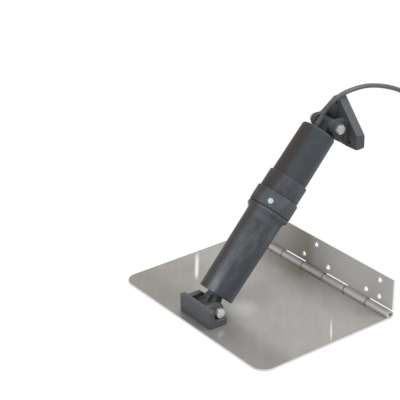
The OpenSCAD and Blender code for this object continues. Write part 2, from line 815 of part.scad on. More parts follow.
// Slanted room beside an edge of the base whose outward normal stands at the given angle
module taper_cut(edge, angle) {
    slant = atan(base_taper / (base_t - base_land));
    depth = (base_t - base_land) / cos(slant) + eps;
    translate([edge.x, base_reach + base_t - base_land, edge.y]) rotate([0, -angle, 0]) rotate([0, 0, -slant])
        translate([0, -depth, -base_w]) cube([base_w, 2 * depth, 2 * base_w]);
}

// Runs an (x, z) outline forward from the given distance
module on_base(from, length) {
    translate([0, from + length, 0]) rotate([90, 0, 0]) linear_extrude(length) children();
}

// Side view of an ear: rounded at the back, its lower edge running down into the base
module bracket_ear() {
    into = base_reach + 1;
    polygon(rounded_outline(
        [[into, ear_r], [-ear_back, ear_r], [-ear_back, -2], ear_heel,
         [base_reach, -base_drop] + ear_knee, [base_reach, ear_toe - base_drop], [into, ear_toe - base_drop]],
        [0, 8, 6, 3, 10, 0, 0]
    ));
}

// Hollow fillet between the outer face of an ear and the base
module ear_fillet() {
    corner = [ear_out + ear_fillet_r, base_reach - ear_fillet_r];
    low = ear_toe + 2 - base_drop;
    translate([0, 0, low]) linear_extrude(ear_r - 0.7 - low) difference() {
        translate([ear_out - 1, base_reach - ear_fillet_r]) square([ear_fillet_r + 1, ear_fillet_r + 1]);
        translate(corner) circle(ear_fillet_r);
    }
}

module upper_bolt() {
    at_upper_pin() pivot_bolt(head_seat);
}

module upper_nut() {
    at_upper_pin() pivot_nut(head_seat);
}

tab_plate();
hinge_pin();
hinge_leaf();
lower_bracket();
lower_bracket_screws();
lower_bolt();
lower_nut();
rod_end();
rod_end_pin();
ram_tube();
drive_nut();
ram_guide_ring();
barrel();
union_ring();
lock_plug();
seal_collar();
housing_seal();
motor_housing();
guide_bush();
wiper_seal();
thrust_bearing();
gearbox();
motor();
motor_cushion();
lead_screw();
cable_gland();
cable_lead();
cable_coil();
coil_tie();
cable_tail();
cable_connector();
upper_bracket();
upper_bolt();
upper_nut();
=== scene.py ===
# %% [markdown]
# # Boat trim tab
# A trim tab is a steel flap on a boat's transom. It turns on a rolled hinge, and an electric ram pushes
# it down into the water to lift the stern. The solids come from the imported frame, one object for each
# piece. This lesson gives them their finishes, adds the cable and the small details, and sets up the
# picture.

import itertools
import json
import math

import bmesh
import bpy
from mathutils import Matrix, Vector


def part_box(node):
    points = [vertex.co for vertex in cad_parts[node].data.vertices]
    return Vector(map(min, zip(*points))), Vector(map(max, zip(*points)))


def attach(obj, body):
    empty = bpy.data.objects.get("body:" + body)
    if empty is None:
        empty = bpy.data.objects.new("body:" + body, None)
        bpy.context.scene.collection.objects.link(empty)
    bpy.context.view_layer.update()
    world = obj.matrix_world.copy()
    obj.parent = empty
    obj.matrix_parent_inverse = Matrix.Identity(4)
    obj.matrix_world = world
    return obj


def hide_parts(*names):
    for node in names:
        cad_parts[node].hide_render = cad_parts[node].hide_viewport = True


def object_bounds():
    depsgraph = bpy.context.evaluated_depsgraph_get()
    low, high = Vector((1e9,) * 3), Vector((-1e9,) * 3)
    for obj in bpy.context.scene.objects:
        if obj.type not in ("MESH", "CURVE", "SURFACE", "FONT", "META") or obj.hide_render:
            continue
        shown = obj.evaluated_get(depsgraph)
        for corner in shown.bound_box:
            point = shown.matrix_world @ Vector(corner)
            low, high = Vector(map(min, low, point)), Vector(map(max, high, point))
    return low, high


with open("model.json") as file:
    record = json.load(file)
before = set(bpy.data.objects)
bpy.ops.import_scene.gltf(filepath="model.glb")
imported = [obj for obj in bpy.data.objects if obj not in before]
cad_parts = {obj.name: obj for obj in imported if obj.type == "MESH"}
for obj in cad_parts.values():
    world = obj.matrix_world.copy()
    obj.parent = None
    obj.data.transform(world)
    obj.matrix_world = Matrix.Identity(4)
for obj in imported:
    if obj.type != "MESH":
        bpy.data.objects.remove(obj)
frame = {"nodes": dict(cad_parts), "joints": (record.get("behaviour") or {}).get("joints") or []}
cad_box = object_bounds()
MM = 0.001
joints = {joint["name"]: joint for joint in frame["joints"]}
print("nodes:", len(frame["nodes"]), "box:", [tuple(round(v, 3) for v in corner) for corner in cad_box])

# %% [markdown]
# ## The camera
# A product photo is taken from far away with a long lens, so parallel edges stay nearly parallel. A
# camera that is placed by eye never lines up with every edge. Here its place, its aim and its small roll
# were worked out from the corners of the plate instead, with a span of 304.8 mm.

# %% Camera
CAMERA_PLACE = Vector((1.2975, -1.1695, 0.9335))
CAMERA_AIM = Vector((0.0, -0.2027, 0.1416))
CAMERA_ROLL = math.radians(-0.64)
LENS_MM = 127.8
SENSOR_MM = 36


def put(name, data):
    """Adds an object to the scene."""
    made = bpy.data.objects.new(name, data)
    bpy.context.scene.collection.objects.link(made)
    return made


def facing(place, aim, roll=0.0):
    """Matrix of a camera or a lamp that looks from its place to its aim."""
    turn = (aim - place).to_track_quat("-Z", "Y").to_matrix() @ Matrix.Rotation(roll, 3, "Z")
    return Matrix.Translation(place) @ turn.to_4x4()


camera_data = bpy.data.cameras.new("camera")
camera_data.sensor_width = SENSOR_MM
camera_data.lens = LENS_MM
camera = put("camera", camera_data)
camera.matrix_world = facing(CAMERA_PLACE, CAMERA_AIM, CAMERA_ROLL)
bpy.context.scene.camera = camera
print("camera distance:", round((CAMERA_AIM - CAMERA_PLACE).length, 3), "m")

# %% [markdown]
# ## A small language for shaders
# A node tree is a formula drawn as boxes. Wiring each box by hand takes several lines, and the formula is
# lost among them. The classes below let it be written as a formula: a Socket is any output, and +, -, *
# and / on it add Math nodes. A Formula is a tree, and a Finish is one material with its main shader.


# %% Sockets
class Socket:
    """One output in a node tree, with arithmetic that adds Math nodes."""

    def __init__(self, formula, output):
        self.formula = formula
        self.output = output

    def beside(self, name):
        """Another output of the same node."""
        return Socket(self.formula, self.output.node.outputs[name])

    def maths(self, operation, *values):
        return self.formula.node("ShaderNodeMath", {"operation": operation}, dict(enumerate(values)))

    def __add__(self, other):
        return self.maths("ADD", self, other)

    def __sub__(self, other):
        return self.maths("SUBTRACT", self, other)

    def __rsub__(self, other):
        return self.maths("SUBTRACT", other, self)

    def __mul__(self, other):
        return self.maths("MULTIPLY", self, other)

    def __truediv__(self, other):
        return self.maths("DIVIDE", self, other)

    __radd__ = __add__
    __rmul__ = __mul__

    def size(self):
        """The value without its sign."""
        return self.maths("ABSOLUTE", self)

    def at_least(self, other):
        return self.maths("MAXIMUM", self, other)

    def above(self, low, high):
        """0 up to low, 1 from high on, and a smooth slope between."""
        inputs = {"Value": self, "From Min": low, "From Max": high}
        return self.formula.node("ShaderNodeMapRange", {"interpolation_type": "SMOOTHSTEP"}, inputs)

    def below(self, low, high):
        """1 up to low, 0 from high on, and a smooth slope between."""
        return 1 - self.above(low, high)

    def between(self, start, full, fading, gone):
        """1 from full to fading, 0 before start and after gone, and smooth slopes between."""
        return self.above(start, full) * self.below(fading, gone)


def distance(u, v):
    """How far the place (u, v) lies from (0, 0)."""
    squared = u * u + v * v
    return squared.maths("SQRT", squared)


print("sockets add, multiply and slope")


# %% Formulas and finishes
class Formula:
    """A node tree that is written as a formula."""

    def __init__(self, tree):
        self.tree = tree

    def node(self, kind, settings=None, inputs=None, output=0):
        """Adds a node: its settings first, then the values or links of its sockets."""
        made = self.tree.nodes.new(kind)
        for key, value in (settings or {}).items():
            setattr(made, key, value)
        for key, value in (inputs or {}).items():
            if isinstance(value, Socket):
                self.tree.links.new(value.output, made.inputs[key])
            else:
                made.inputs[key].default_value = value
        return Socket(self, made.outputs[output])


class Finish(Formula):
    """One material: a Principled shader and the nodes that feed it."""

    def __init__(self, name, **constants):
        self.material = bpy.data.materials.new(name)
        self.material.use_nodes = True
        super().__init__(self.material.node_tree)
        self.shader = self.tree.nodes["Principled BSDF"]
        for socket, value in constants.items():
            self.shader.inputs[socket.replace("_", " ")].default_value = value

    def place(self, stretch=(1, 1, 1), turn=(0, 0, 0)):
        """Object coordinates in metres, turned and then stretched."""
        where = self.node("ShaderNodeTexCoord", output="Object")
        turned = self.node("ShaderNodeMapping", {"vector_type": "POINT"}, {"Vector": where, "Rotation": turn})
        return self.node("ShaderNodeMapping", {"vector_type": "POINT"}, {"Vector": turned, "Scale": stretch})

    def axes(self):
        """The x, y and z of the object's own coordinates."""
        split = self.node("ShaderNodeSeparateXYZ", None, {0: self.place()})
        return [split.beside(axis) for axis in "XYZ"]

    def noise(self, where, scale, detail=2, rough=0.5):
        """Soft random patches, smaller with a larger scale."""
        inputs = {"Vector": where, "Scale": scale, "Detail": detail, "Roughness": rough}
        return self.node("ShaderNodeTexNoise", None, inputs)

    def mix(self, factor, first, second):
        """The first colour where the factor is 0, and the second where it is 1."""
        settings = {"data_type": "RGBA", "clamp_factor": True}
        return self.node("ShaderNodeMix", settings, {0: factor, 6: first, 7: second}, output=2)

    def coats(self, colour, *coats):
        """Lays coats over a colour, each with the share of it that shows."""
        for share, coat in coats:
            colour = self.mix(share, colour, coat)
        return colour

    def bump(self, height, strength, depth):
        """A surface that is tilted by a height."""
        return self.node("ShaderNodeBump", None, {"Height": height, "Strength": strength, "Distance": depth})

    def feed(self, **sources):
        """Links sockets to the main shader and returns the material."""
        for socket, source in sources.items():
            self.tree.links.new(source.output, self.shader.inputs[socket.replace("_", " ")])
        return self.material


def grey(level, warm=0.0):
    """A grey in linear light, warmer with red and less blue."""
    return (level * (1 + warm), level, level * (1 - warm), 1)


def darkened(colour, share):
    """A colour with only a share of its light."""
    return tuple(part * share for part in colour[:3]) + (1,)


print("finishes ready, a middle grey is", grey(0.18))

# %% [markdown]
# ## Places on the sheets
# The tab and the leaf are cut from the same steel sheet and rolled into one hinge. Their rims, knuckles
# and two glints, which are painted highlights, could be painted by hand on an unwrapped mesh. A formula of
# x, y and z needs no unwrapping and stays sharp at any distance, so each helper here gives 1 on its place and
# 0 elsewhere.

# %% Places on the sheets
tab_low, tab_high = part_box("tab_plate")
HALF_SPAN = tab_high.x
CHORD = -tab_low.y
CORNER_R = 20 * MM
RIM_SLOPE = (CORNER_R - 0.5 * MM, CORNER_R - 0.2 * MM)
HINGE = Vector(joints["tab_hinge"]["pos_m"])
KNUCKLES = 7
KNUCKLE_W = 2 * HALF_SPAN / KNUCKLES
KNUCKLE_R = -HINGE.y
KNUCKLE_SLOPE = (KNUCKLE_R + 0.1 * MM, KNUCKLE_R + 0.6 * MM)
KNUCKLE_UP = Vector((0, 0.62, 0.78))
KNUCKLE_GAP = (0.5 * MM, 1.3 * MM)
INSIDE_SPAN = (HALF_SPAN - 6 * MM, HALF_SPAN - 3 * MM)
# Lead and rise of the painted glints.
GLINT_LEAD = 4 * MM
GLINT_RISE = 0.35


# The place of the rim's painted highlight.
def rim_of_tab(x, y):
    """1 on the sheared rim of the tab, from the distance to its rounded outline."""
    side = (x.size() - (HALF_SPAN - CORNER_R)).at_least(0)
    end = (CORNER_R - CHORD - y).at_least(0)
    return distance(side, end).above(*RIM_SLOPE)


def glint_streak(x, y, start, end, half_width, fade_from):
    """A painted glint from start to end, which fades from the share fade_from of its length on."""
    along = Vector(end) - Vector(start)
    length = along.length
    along = along / length
    far = (x - start[0]) * along.x + (y - start[1]) * along.y
    off = (x - start[0]) * along.y - (y - start[1]) * along.x
    narrow = off.size().below(0, half_width)
    return narrow * far.between(-GLINT_LEAD, length * GLINT_RISE, length * fade_from, length)


def on_knuckle(y, z):
    """1 on the rolled knuckles and 0 on flat sheet, and how far up its curl a place lies, from -1 to 1."""
    y = y - HINGE.y
    z = z - HINGE.z
    return distance(y, z).below(*KNUCKLE_SLOPE), (y * KNUCKLE_UP.y + z * KNUCKLE_UP.z) / KNUCKLE_R


def knuckle_ends(x):
    """1 where two knuckles meet, and 0 along them and at the hinge's outer ends."""
    from_end = x.maths("PINGPONG", x + HALF_SPAN, KNUCKLE_W / 2)
    return from_end.below(*KNUCKLE_GAP) * x.size().below(*INSIDE_SPAN)


print("tab of", round(2 * HALF_SPAN / MM, 1), "by", round(CHORD / MM, 1), "mm with", KNUCKLES, "knuckles")

# %% [markdown]
# ## Painted shade and light on the sheets
# Polished sheet shows its room: it is browner behind the actuator and at the ends, more shaded at the
# trailing edge and lighter in front. A modelled room would need many trials, and would change with each pose.
# Painted shade, reflection and light in the colour are simpler and stay with the sheet; each sheet has a
# function for its own.

# %% Painted shade and light of the sheets
LEAF_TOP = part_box("hinge_leaf")[1].z
LEAF_TOP_EDGE = (LEAF_TOP - 0.4 * MM, LEAF_TOP - 0.2 * MM)
# Places of painted shade, painted reflection and painted light on the sheets.
LEAF_BEHIND_RAM = (-0.09, -0.025, -0.018, 0.002)
LEAF_RIGHT = (-0.02, 0.04)
LEAF_RIGHT_END = (0.06, 0.14)
TAB_BEHIND_RAM = (-0.1, -0.03, -0.015, 0.01)
TAB_BY_HINGE = (-0.045, -0.02)
FAR_SIDE = (-0.08, -0.03)
FAR_AFT = (-0.13, -0.085)
NEAR_SIDE = (0.09, 0.15)
NEAR_HINGE = (-0.06, -0.03)
TRAILING = (-0.2, -0.155)
FOOT_SHADE = Vector((0.052, -0.205))
FOOT_SHADE_R = 0.04
BRIGHT_POOL = Vector((0.012, -0.145))
BRIGHT_POOL_R = 0.032


def painted_light_of_leaf(x, y, z):
    """How much painted shade the leaf gets behind the actuator, in a browner grey, and on its top edge, and
    how much painted light on its right.
    """
    brown_shade = x.between(*LEAF_BEHIND_RAM)
    shade_on_top_edge = z.above(*LEAF_TOP_EDGE)
    painted_highlight = x.above(*LEAF_RIGHT) * (1 - x.above(*LEAF_RIGHT_END) * 0.4) * (1 - shade_on_top_edge)
    return brown_shade * 0.38, shade_on_top_edge * 0.35, painted_highlight * 0.4


def painted_light_of_tab(x, y, z):
    """How much painted shade the tab gets, browner by the hinge and at its ends and grey at its foot and
    trailing edge, and a pool of painted light.
    """
    shade_by_hinge = x.between(*TAB_BEHIND_RAM) * y.above(*TAB_BY_HINGE)
    shade_far_corner = x.below(*FAR_SIDE) * y.below(*FAR_AFT)
    shade_near_end = x.above(*NEAR_SIDE) * (0.07 + y.above(*NEAR_HINGE) * 0.05)
    foot_shade = distance(x - FOOT_SHADE.x, y - FOOT_SHADE.y).below(0, FOOT_SHADE_R)
    painted_light_pool = distance(x - BRIGHT_POOL.x, y - BRIGHT_POOL.y).below(0, BRIGHT_POOL_R)
    brown_shade = shade_by_hinge * 0.4 + shade_far_corner * 0.22 + shade_near_end
    painted_shade = y.below(*TRAILING) * 0.22 + foot_shade * 0.12
    return brown_shade, painted_shade, painted_light_pool * 0.3


print("leaf's top at", round(LEAF_TOP / MM, 1), "mm")

# %% [markdown]
# ## Stainless sheet
# Brushing leaves thousands of scratches in one direction. Modelling them would take millions of faces, so
# a noise that is stretched far along X stands for them: it changes the roughness and tilts the surface
# slightly. Clouds, wipe marks and specks keep the sheet from looking new and empty, and two painted glints
# stand for lamps reflected in it. The knuckles are satin, with painted light in front, painted shade that is
# tan above and dark painted shade where they meet. The sheared rim has a painted highlight, brighter than
# the faces, and a thin smooth coat adds the faint sharp reflection of sheet steel.

# %% Stainless sheet
BRUSHING = (7, 1700, 1700)
WIPING = (16, 90, 16)
WIPE_TURN = (0, 0, 0.7)
# Painted shade: a browner grey for the sheets' shaded places.
SHADE_BROWN = (0.15, 0.10, 0.01, 1)
# Grey of the painted highlights and painted glints.
HIGHLIGHT_GREY = grey(0.95, 0.01)
SPECK_GREY = grey(0.2, 0.06)
# Painted highlight of the sheared rim.
RIM_HIGHLIGHT = grey(0.74, 0.03)
# Painted light and shade of the knuckles: lit in front, shaded and tan on top, and shade in the gaps.
CURL_LIT_FRONT = grey(0.57, -0.02)
CURL_SHADED_TOP = grey(0.35, 0.08)
CURL_GAP_SHADE = grey(0.07, 0.15)
FULL_COAT = 0.4
# Two painted glints: lamps reflected as streaks on the plate.
LEFT_GLINT = ((-0.1538, -0.0938), (-0.0808, -0.1503), 4.2 * MM, 0.7)
RIGHT_GLINT = ((0.1515, -0.109), (0.100, -0.062), 1.6 * MM, 0.4)


def brushed_sheet(name, dark, light, painted_light):
    """Brushed stainless steel with clouds between two greys, and broad painted shade, light and glints over
    them.
    """
    finish = Finish(name, Metallic=0.5, Coat_Roughness=0.09)
    x, y, z = finish.axes()
    scratches = finish.noise(finish.place(BRUSHING), 1.0, detail=3, rough=0.65)
    clouds = finish.noise(finish.place(), 9.0, detail=3)
    wipes = finish.noise(finish.place(WIPING, WIPE_TURN), 1.0, detail=3, rough=0.6)
    specks = finish.noise(finish.place(), 260.0, detail=1).above(0.735, 0.76)
    tone = clouds * 0.5 + scratches * 0.2 + wipes * 0.3
    # Painted shade, painted reflection and painted light of each sheet.
    brown_shade, painted_shade, painted_highlight = painted_light(x, y, z)
    # The painted glints, two streaks of lamp light.
    painted_glints = glint_streak(x, y, *LEFT_GLINT) + glint_streak(x, y, *RIGHT_GLINT)
    rolled, up = on_knuckle(y, z)
    # Painted light in front of the knuckles, painted shade above, and painted shade where they meet.
    curl = finish.mix(up.above(-0.15, 0.4), CURL_LIT_FRONT, CURL_SHADED_TOP)
    curl = finish.mix(knuckle_ends(x) * 0.75, curl, CURL_GAP_SHADE)
    clean = finish.mix(tone.above(0.35, 0.65), dark, light)
    # Coats: painted shade, painted highlights, real specks, painted glints, the rim's painted highlight, and
    # the knuckles' painted light and shade.
    colour = finish.coats(
        clean, (brown_shade, SHADE_BROWN), (painted_shade, grey(0)), (painted_highlight, HIGHLIGHT_GREY), (specks * 0.15, SPECK_GREY),
        (painted_glints * 0.8, HIGHLIGHT_GREY), (rim_of_tab(x, y) * 0.8, RIM_HIGHLIGHT), (rolled * 0.9, curl)
    )
    roughness = 0.42 + scratches * 0.1 + clouds * 0.08 + rolled * 0.12
    return finish.feed(Base_Color=colour, Roughness=roughness, Coat_Weight=FULL_COAT - rolled * FULL_COAT,
                       Normal=finish.bump(scratches, 0.06, 0.2 * MM))


tab_steel = brushed_sheet("tab_steel", grey(0.318, 0.042), grey(0.390, 0.034), painted_light_of_tab)
# The leaf is the tab's steel painted in lighter greys, as painted light on it.
lit_leaf_steel = brushed_sheet("lit_leaf_steel", grey(0.422, 0.026), grey(0.482, 0.022), painted_light_of_leaf)
print("made", tab_steel.name, lit_leaf_steel.name)

# %% [markdown]
# ## Bright fasteners and drive metals
# Bolts, nuts and drive parts are turned and rolled, so they are smoother than the sheet, with fine marks
# in every direction. A plain metal shader looks like chrome, so a fine noise breaks its gloss and a broad
# one stains it. Worn bolts also scatter some light, so their share of metal is lower.

# %% Fasteners and drive metals
STAIN_DARKNESS = 0.65
WORN_METAL = 0.55


def turned_metal(name, colour, low_rough, high_rough, metal=1.0):
    """Smooth machined metal with fine marks and a few stains."""
    finish = Finish(name, Metallic=metal)
    marks = finish.noise(finish.place(), 900.0, detail=3, rough=0.6)
    stains = finish.noise(finish.place(), 120.0, detail=2).above(0.4, 0.75)
    stained = finish.mix(stains * 0.3, colour, darkened(colour, STAIN_DARKNESS))
    roughness = low_rough + marks * (high_rough - low_rough)
    return finish.feed(Base_Color=stained, Roughness=roughness, Normal=finish.bump(marks, 0.03, 0.1 * MM))


bolt_steel = turned_metal("bright_bolt_steel", grey(0.66, 0.025), 0.26, 0.38, WORN_METAL)
dull_bolt_steel = turned_metal("dull_bolt_steel", grey(0.44, 0.03), 0.28, 0.40, WORN_METAL)
screw_steel = turned_metal("screw_steel", grey(0.6, 0.01), 0.2, 0.4)
nut_bronze = turned_metal("nut_bronze", (0.60, 0.40, 0.16, 1), 0.25, 0.45)
can_steel = turned_metal("motor_can_steel", grey(0.5), 0.3, 0.5)
print("made", bolt_steel.name, dull_bolt_steel.name, screw_steel.name, nut_bronze.name, can_steel.name)

# %% [markdown]
# ## Painted sheen on the actuator
# The barrel and its ring get a painted highlight: a cloudy sheen in a band and on the lip. The band could
# be a second material on some faces, but its edge would be hard. It is found from how far up the tube a
# place lies and how far to its left, so it can fade both ways.

# %% Painted sheen on the actuator
TUBE_FOOT = Vector(joints["screw_spin"]["pos_m"])
TUBE_AXIS = Vector(joints["ram_stroke"]["axis"])
TUBE_LEFT = Vector((-0.694, -0.526, 0.491))
TUBE_R = 24.7 * MM
# Where the painted highlight lies on a tube: a band on its left that fades up it, and the lip.
BAND_MIDDLE = 0.36
BAND_SLOPE = (0.05, 0.36)
BAND_FADE = (0.0, 0.13)
LIP_ALONG = (0.128, 0.136, 0.16, 0.176)
LIP_LEFT = (-0.6, 0.2)


def on_tube(finish):
    """Distance along the actuator from its foot in metres, and share of its radius towards the left."""
    x, y, z = finish.axes()
    y = y - TUBE_FOOT.y
    z = z - TUBE_FOOT.z
    along = y * TUBE_AXIS.y + z * TUBE_AXIS.z
    left = (x * TUBE_LEFT.x + y * TUBE_LEFT.y + z * TUBE_LEFT.z) / TUBE_R
    return along, left


def painted_sheen(along, left, clouds):
    """How much painted highlight a tube gets: a cloudy band that fades up the tube, and a lip."""
    band = (left - BAND_MIDDLE).size().below(*BAND_SLOPE) * along.below(*BAND_FADE)
    lip = along.between(*LIP_ALONG) * left.above(*LIP_LEFT)
    return band * (clouds.above(0.3, 0.6) * 0.6 + 0.4) + lip * 0.3


print("tube's foot at", [round(v / MM, 1) for v in TUBE_FOOT], "mm")

# %% [markdown]
# ## Moulded black plastic
# The actuator and its brackets are moulded in black glass-filled nylon. The mould leaves a fine grain and
# handling leaves dusty paler clouds, so the black looks like dark grey. A plain dark colour would look
# like a hole in the picture. One function makes all the blacks, because they differ only in tone, dust
# and gloss.

# %% Black plastic
LEAN = math.atan2(TUBE_AXIS.y, TUBE_AXIS.z)
DRAWN_OUT = (1, 1, 0.45)
DUST_GREY = grey(0.19)
# Grey of the painted sheen.
SHEEN_GREY = (0.18, 0.195, 0.215, 1)
# Painted shade, browner, on a tube's left, and a painted highlight on its far right.
LEFT_SHADE = (0.038, 0.031, 0.026, 1)
LEFT_SLOPE = 0.4
RIGHT_EDGE_HIGHLIGHT = (0.075, 0.080, 0.088, 1)
FAR_RIGHT = (-0.95, -0.7)


def moulded_black(name, level, dust, grain, rough, cool=1.0, sheen=0.0, shade_from=None):
    """Black moulded polymer: level is its grey, dust its pale clouds, grain its relief, cool its blue.

    Sheen is how much of the painted highlight shows in a band and on the lip. A tube gets browner painted
    shade on its left, from the share of its radius that the last argument gives, and a painted highlight on
    its far right."""
    finish = Finish(name, Specular_IOR_Level=0.22)
    along_tube = finish.place(DRAWN_OUT, (LEAN, 0, 0))
    clouds = finish.noise(along_tube, 34.0, detail=4, rough=0.62)
    smears = finish.noise(along_tube, 110.0, detail=3, rough=0.7)
    fine = finish.noise(finish.place(), 1500.0, detail=2)
    pale = (clouds * 0.6 + smears * 0.4).above(0.42, 0.68)
    plain = (level * (1 - 0.07 * cool), level * (1 + 0.03 * cool), level * (1 + 0.2 * cool), 1)
    colour = finish.mix(pale * dust, plain, DUST_GREY)
    along, left = on_tube(finish)
    # Painted highlight: the sheen of the band and the lip.
    if sheen:
        colour = finish.mix(painted_sheen(along, left, clouds) * sheen, colour, SHEEN_GREY)
    # Painted shade on the tube's left, and a painted highlight along its far right edge.
    if shade_from is not None:
        shade_on_left = left.above(shade_from, shade_from + LEFT_SLOPE)
        highlight_on_right = left.below(*FAR_RIGHT)
        colour = finish.coats(colour, (shade_on_left * 0.8, LEFT_SHADE), (highlight_on_right * 0.8, RIGHT_EDGE_HIGHLIGHT))
    roughness = rough + pale * 0.12 + fine * 0.08
    return finish.feed(Base_Color=colour, Roughness=roughness, Normal=finish.bump(fine, grain, 0.12 * MM))


# The tube blacks take painted shade on their left, and the barrel and ring a painted sheen.
tube_black = moulded_black("tube_black", 0.046, 0.12, 0.25, 0.50, shade_from=0.2)
collar_black = moulded_black("collar_black", 0.048, 0.36, 0.25, 0.45, shade_from=0.3)
ring_black = moulded_black("ring_black", 0.056, 0.40, 0.25, 0.45, sheen=0.7, shade_from=0.6)
barrel_black = moulded_black("barrel_black", 0.049, 0.38, 0.30, 0.40, sheen=1.0, shade_from=0.45)
bracket_black = moulded_black("bracket_black", 0.067, 0.08, 0.30, 0.45, cool=0.5)
foot_black = moulded_black("foot_black", 0.084, 0.10, 0.30, 0.45, cool=0.3)
ram_black = moulded_black("ram_black", 0.022, 0.02, 0.05, 0.22)
connector_black = moulded_black("connector_black", 0.024, 0.04, 0.20, 0.45)
print("made", [black.name for black in bpy.data.materials if black.name.endswith("_black")])

# %% [markdown]
# ## Rubber, jacket, white plug and bearing plastic
# The cable's jacket is smooth and a little waxy, the seals are duller, the plug is plain white and the
# bearing plastic is the colour of cream. Each could be one flat colour, but a tone and a gloss that
# wander a little make it look like a real moulding.

# %% Soft and pale plastics


def smooth_polymer(name, colour, rough, spread, grain_scale):
    """Smooth polymer whose tone and gloss wander a little."""
    finish = Finish(name)
    drift = finish.noise(finish.place(), 45.0, detail=3)
    grain = finish.noise(finish.place(), grain_scale, detail=2)
    toned = finish.mix(drift.above(0.35, 0.7), colour, darkened(colour, 1 - spread))
    relief = finish.bump(grain, 0.06, 0.1 * MM)
    return finish.feed(Base_Color=toned, Roughness=rough + grain * 0.1, Normal=relief)


jacket_black = smooth_polymer("cable_jacket_black", (0.072, 0.075, 0.083, 1), 0.38, 0.2, 700.0)
seal_black = smooth_polymer("seal_rubber_black", grey(0.02), 0.55, 0.2, 900.0)
plug_white = smooth_polymer("plug_white", (0.54, 0.57, 0.62, 1), 0.35, 0.06, 600.0)
acetal = smooth_polymer("bearing_acetal", (0.70, 0.66, 0.54, 1), 0.4, 0.1, 600.0)
print("made", jacket_black.name, seal_black.name, plug_white.name, acetal.name)

# %% [markdown]
# ## Dressing the solids
# The solids have sharp edges, and real edges never are. Rounding them in the solids would make the solids
# heavy, so modifiers do it here: welding the triangles together and bevelling what is left sharp gives an
# edge a small round that catches the light. The cut sheets, one round seal and the cable stay as they
# are.

# %% Finishes and edges of the solids
DRESS = {
    "tab_plate": (tab_steel, 0.0),
    "hinge_leaf": (lit_leaf_steel, 0.0),
    "hinge_pin": (bolt_steel, 0.4),
    "lower_bracket": (foot_black, 0.7),
    "upper_bracket": (bracket_black, 1.0),
    "rod_end": (foot_black, 0.8),
    "barrel": (barrel_black, 0.5),
    "union_ring": (ring_black, 0.25),
    "seal_collar": (collar_black, 0.4),
    "motor_housing": (tube_black, 0.6),
    "ram_tube": (ram_black, 0.4),
    "lock_plug": (plug_white, 0.3),
    "cable_gland": (seal_black, 0.3),
    "cable_connector": (connector_black, 0.4),
    "coil_tie": (connector_black, 0.2),
    "lower_bracket_screws": (bolt_steel, 0.15),
    "lower_bolt": (bolt_steel, 0.3),
    "lower_nut": (bolt_steel, 0.3),
    "upper_bolt": (dull_bolt_steel, 0.3),
    "upper_nut": (dull_bolt_steel, 0.3),
    "rod_end_pin": (bolt_steel, 0.3),
    "lead_screw": (screw_steel, 0.3),
    "thrust_bearing": (screw_steel, 0.3),
    "drive_nut": (nut_bronze, 0.3),
    "gearbox": (can_steel, 0.5),
    "motor": (can_steel, 0.5),
    "guide_bush": (acetal, 0.3),
    "ram_guide_ring": (acetal, 0.3),
    "wiper_seal": (seal_black, 0.3),
    "housing_seal": (seal_black, 0.0),
    "motor_cushion": (seal_black, 0.3),
    "cable_lead": (jacket_black, 0.0),
    "cable_coil": (jacket_black, 0.0),
    "cable_tail": (jacket_black, 0.0),
}
WELD = 0.01 * MM
EDGE_STEPS = 2
SHARP = math.radians(32)


def dress(name, material, edge_mm):
    """Gives a solid its finish, and rounds its edges by edge_mm."""
    solid = frame["nodes"][name]
    solid.data.materials.clear()
    solid.data.materials.append(material)
    if edge_mm == 0:
        return
    weld = solid.modifiers.new("weld", "WELD")
    weld.merge_threshold = WELD
    bevel = solid.modifiers.new("edge", "BEVEL")
    bevel.width = edge_mm * MM
    bevel.segments = EDGE_STEPS
    bevel.limit_method = "ANGLE"
    bevel.angle_limit = SHARP
    bevel.harden_normals = True
    bevel.use_clamp_overlap = True


for node_name, (material, edge_mm) in DRESS.items():
    dress(node_name, material, edge_mm)
print("dressed", len(DRESS), "of", len(frame["nodes"]), "solids")

# %% [markdown]
# ## Small repeated details
# Ribs round a grip and teeth on a strap are one shape many times over, and a thread is one profile along
# a spiral. Placing each by hand would be long and hard to change. Geometry Nodes repeats or sweeps a
# shape from a few named inputs. Each tree is grown once with its values, and the result becomes a plain
# mesh.


